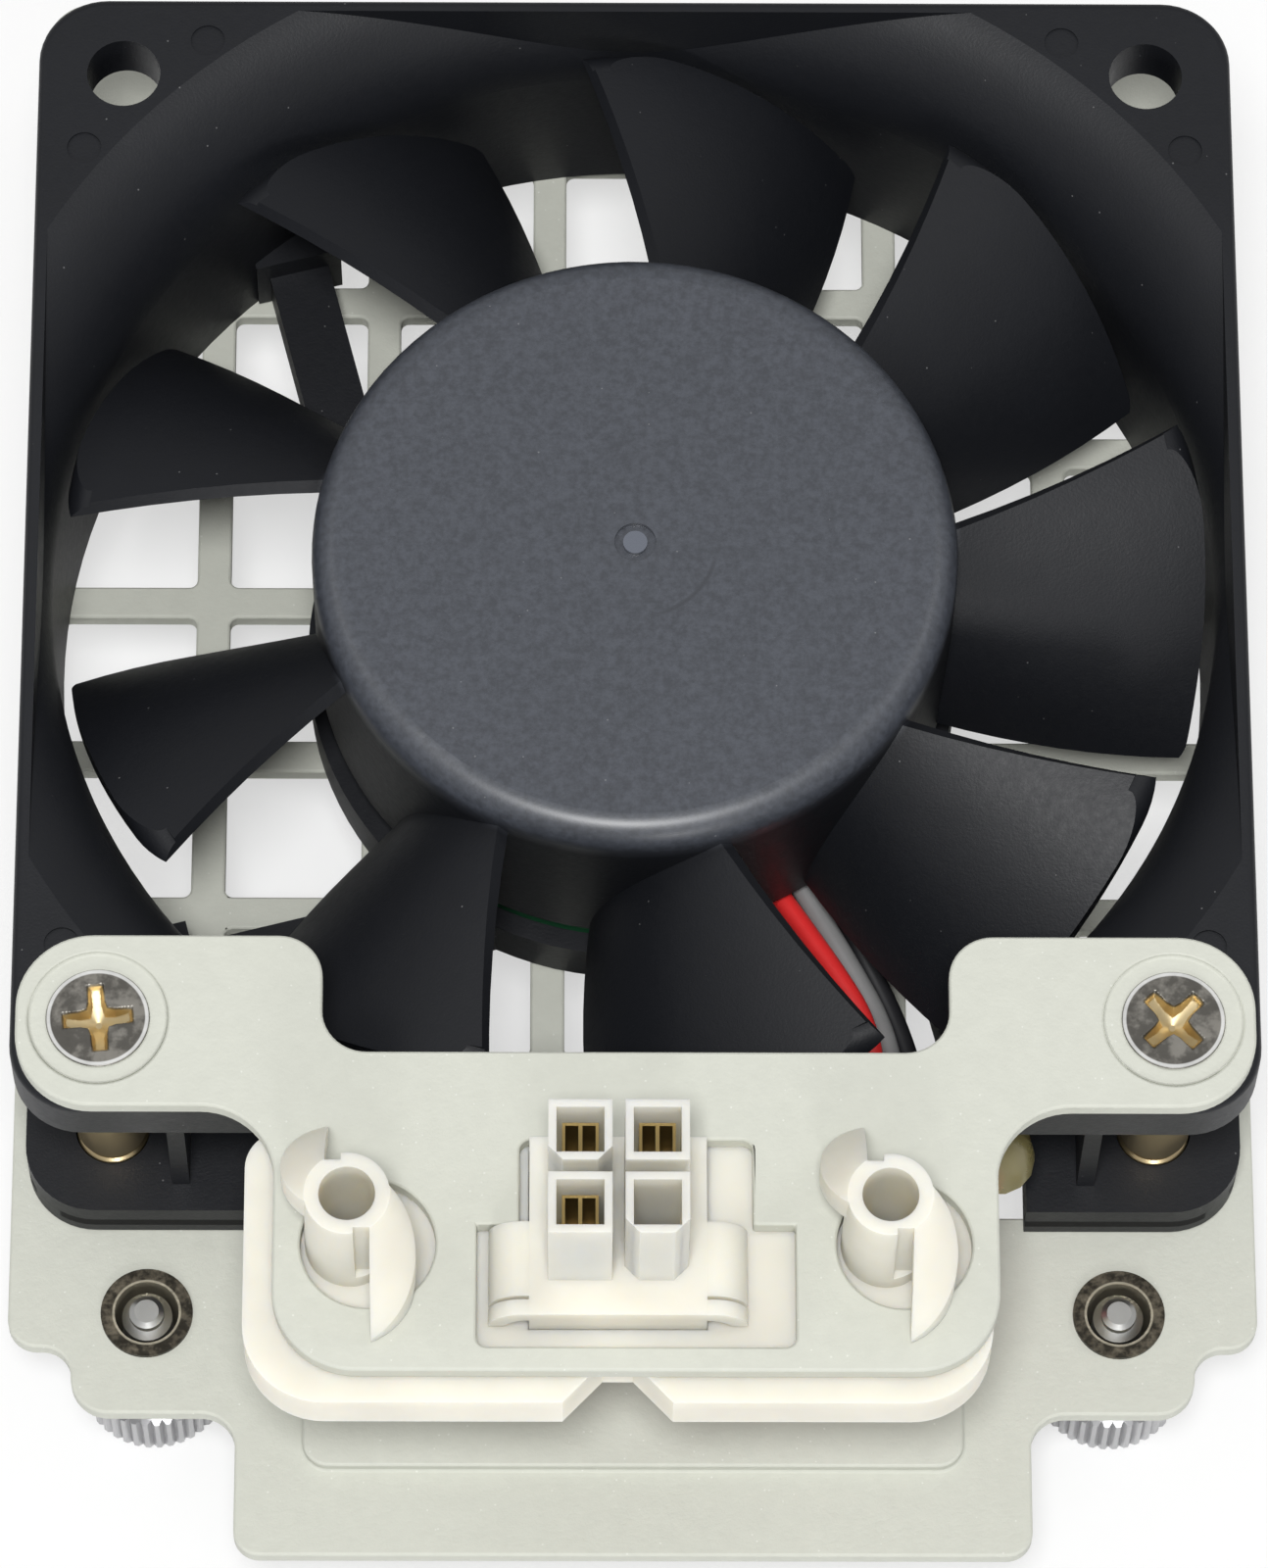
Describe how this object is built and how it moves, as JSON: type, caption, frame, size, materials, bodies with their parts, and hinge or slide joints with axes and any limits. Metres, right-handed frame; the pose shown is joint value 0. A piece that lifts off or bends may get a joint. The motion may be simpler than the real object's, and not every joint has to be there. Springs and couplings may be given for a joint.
{
  "type": "server fan module",
  "caption": "Square axial fan on a grille faceplate with two captive thumbscrews and a floating blind-mate connector on a bracket.",
  "frame": {"origin": "fan axis in the inner face of the faceplate, which bears on the chassis wall", "axes": "+Z along the fan axis towards the air inlet, +X to the right with the connector towards -Y"},
  "size_m": [0.072, 0.1, 0.0415],
  "materials": {
    "powder_coat": "fine-textured powder coat",
    "black_plastic": "fine-textured moulding",
    "white_nylon": "smooth",
    "zinc_steel": "zinc plated",
    "gilt_steel": "yellow zinc",
    "bearing_steel": "polished",
    "spring_steel": "drawn",
    "knob_alloy": "knurled",
    "yoke_steel": "drawn",
    "ferrite": "matt",
    "lamination": "stacked sheet",
    "brass": "plain",
    "insulator_plastic": "smooth",
    "copper": "enamelled wire",
    "board": "solder mask",
    "component": "moulded",
    "red_sleeve": "smooth",
    "grey_sleeve": "smooth",
    "black_sleeve": "smooth",
    "clear_sleeve": "translucent, smooth"
  },
  "bodies": {
    "module": {"faceplate": "powder_coat", "left_screw_retainer": "zinc_steel", "right_screw_retainer": "zinc_steel", "left_standoff": "zinc_steel", "right_standoff": "zinc_steel", "fan_screws": "zinc_steel", "fan_frame": "black_plastic", "bearing_tube": "brass", "lower_bearing_outer_ring": "bearing_steel", "upper_bearing_outer_ring": "bearing_steel", "lower_bearing_balls": "bearing_steel", "upper_bearing_balls": "bearing_steel", "stator_core": "lamination", "lower_insulator": "insulator_plastic", "upper_insulator": "insulator_plastic", "stator_windings": "copper", "motor_board": "board", "board_components": "component", "connector_bracket": "powder_coat", "bracket_screws": "gilt_steel", "red_wire": "red_sleeve", "grey_wire": "grey_sleeve", "black_wire": "black_sleeve", "wire_sleeve": "clear_sleeve"},
    "rotor": {"impeller": "black_plastic", "rotor_yoke": "yoke_steel", "rotor_magnet": "ferrite", "rotor_shaft": "bearing_steel", "shaft_clip": "spring_steel", "preload_spring": "spring_steel", "lower_bearing_inner_ring": "bearing_steel", "upper_bearing_inner_ring": "bearing_steel"},
    "floating_connector": {"connector_carrier": "white_nylon", "connector_housing": "white_nylon", "power_terminal": "brass", "ground_terminal": "brass", "speed_terminal": "brass"},
    "left_knob_spring": {"left_thumbscrew_spring": "spring_steel"},
    "left_thumbscrew": {"left_thumbscrew_knob": "knob_alloy", "left_thumbscrew_screw": "zinc_steel"},
    "right_knob_spring": {"right_thumbscrew_spring": "spring_steel"},
    "right_thumbscrew": {"right_thumbscrew_knob": "knob_alloy", "right_thumbscrew_screw": "zinc_steel"}
  },
  "joints": [
    {"name": "impeller_spin", "type": "hinge", "parent": "module", "child": "rotor", "pos_m": [0, 0, 0.01], "axis": [0, 0, 1], "continuous": true},
    {"name": "connector_float", "type": "slide", "parent": "module", "child": "floating_connector", "axis": [1, 0, 0], "range_m": [0, 0.002]},
    {"name": "left_thumbscrew_push", "type": "slide", "parent": "module", "child": "left_knob_spring", "axis": [0, 0, 1], "range_m": [0, 0.0038], "stiffness_N_per_m": 400, "springref_m": -0.003, "deforming": ["left_thumbscrew_spring"]},
    {"name": "left_thumbscrew_turn", "type": "hinge", "parent": "left_knob_spring", "child": "left_thumbscrew", "pos_m": [-0.028, -0.04, 0], "axis": [0, 0, 1], "continuous": true},
    {"name": "right_thumbscrew_push", "type": "slide", "parent": "module", "child": "right_knob_spring", "axis": [0, 0, 1], "range_m": [0, 0.0038], "stiffness_N_per_m": 400, "springref_m": -0.003, "deforming": ["right_thumbscrew_spring"]},
    {"name": "right_thumbscrew_turn", "type": "hinge", "parent": "right_knob_spring", "child": "right_thumbscrew", "pos_m": [0.028, -0.04, 0], "axis": [0, 0, 1], "continuous": true}
  ]
}
